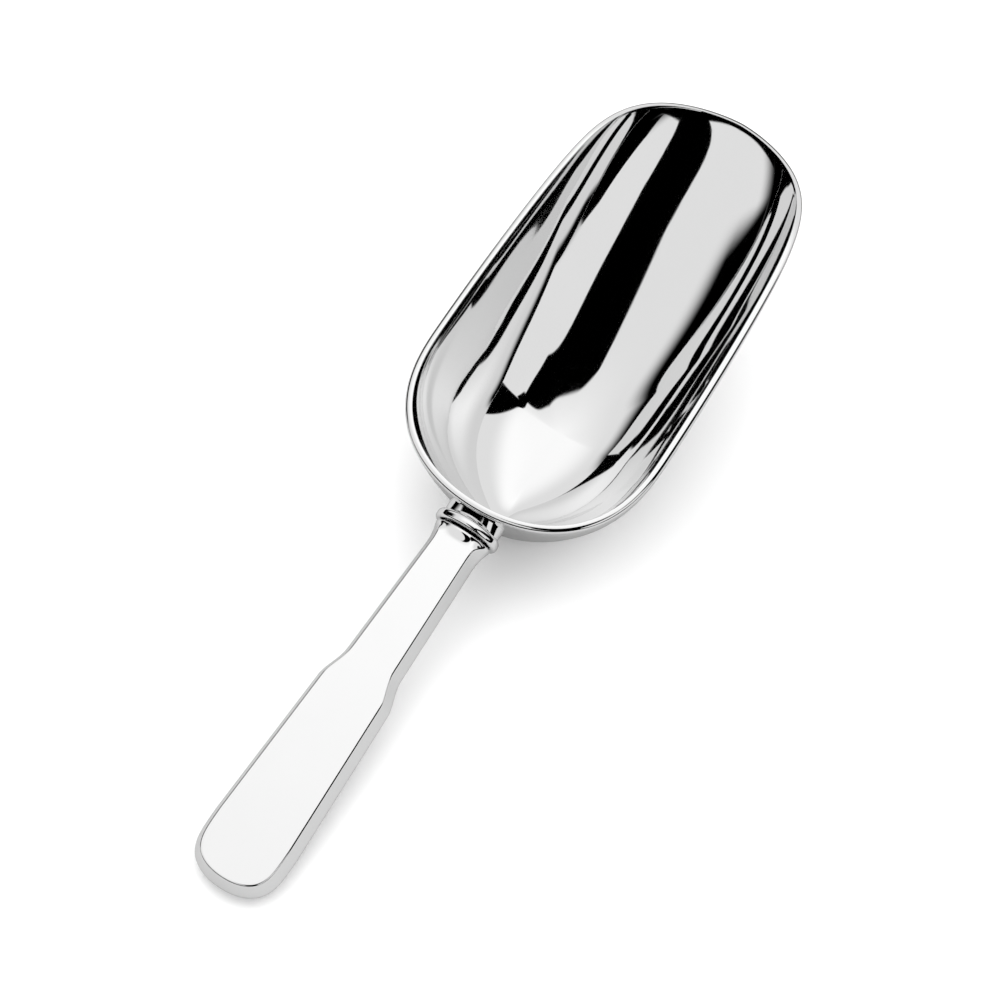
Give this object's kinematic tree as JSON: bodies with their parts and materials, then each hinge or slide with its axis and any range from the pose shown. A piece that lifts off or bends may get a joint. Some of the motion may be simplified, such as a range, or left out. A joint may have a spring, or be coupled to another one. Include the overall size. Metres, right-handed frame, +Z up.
{
  "type": "ice scoop",
  "caption": "Polished silver ice scoop: deep rounded open bowl with a lowered pouring lip, an oval bolster collar and a flat hollow handle with stepped shoulders.",
  "frame": {"origin": "middle of the bottom of the scoop's box as it lies on a table, on the bowl's belly and the handle's end", "axes": "+Y along the scoop from the handle's end to the pouring lip, +Z up out of the open bowl, +X to the right seen from the handle"},
  "size_m": [0.0616, 0.2108, 0.0487],
  "materials": {
    "bowl_silver": "polished",
    "collar_silver": "polished",
    "handle_silver": "polished",
    "tang_steel": "satin",
    "filler": "matte"
  },
  "bodies": {
    "root": {"bowl": "bowl_silver", "bolster_collar": "collar_silver", "handle_front_shell": "handle_silver", "handle_back_shell": "handle_silver", "tang": "tang_steel", "handle_cement": "filler"}
  },
  "joints": []
}
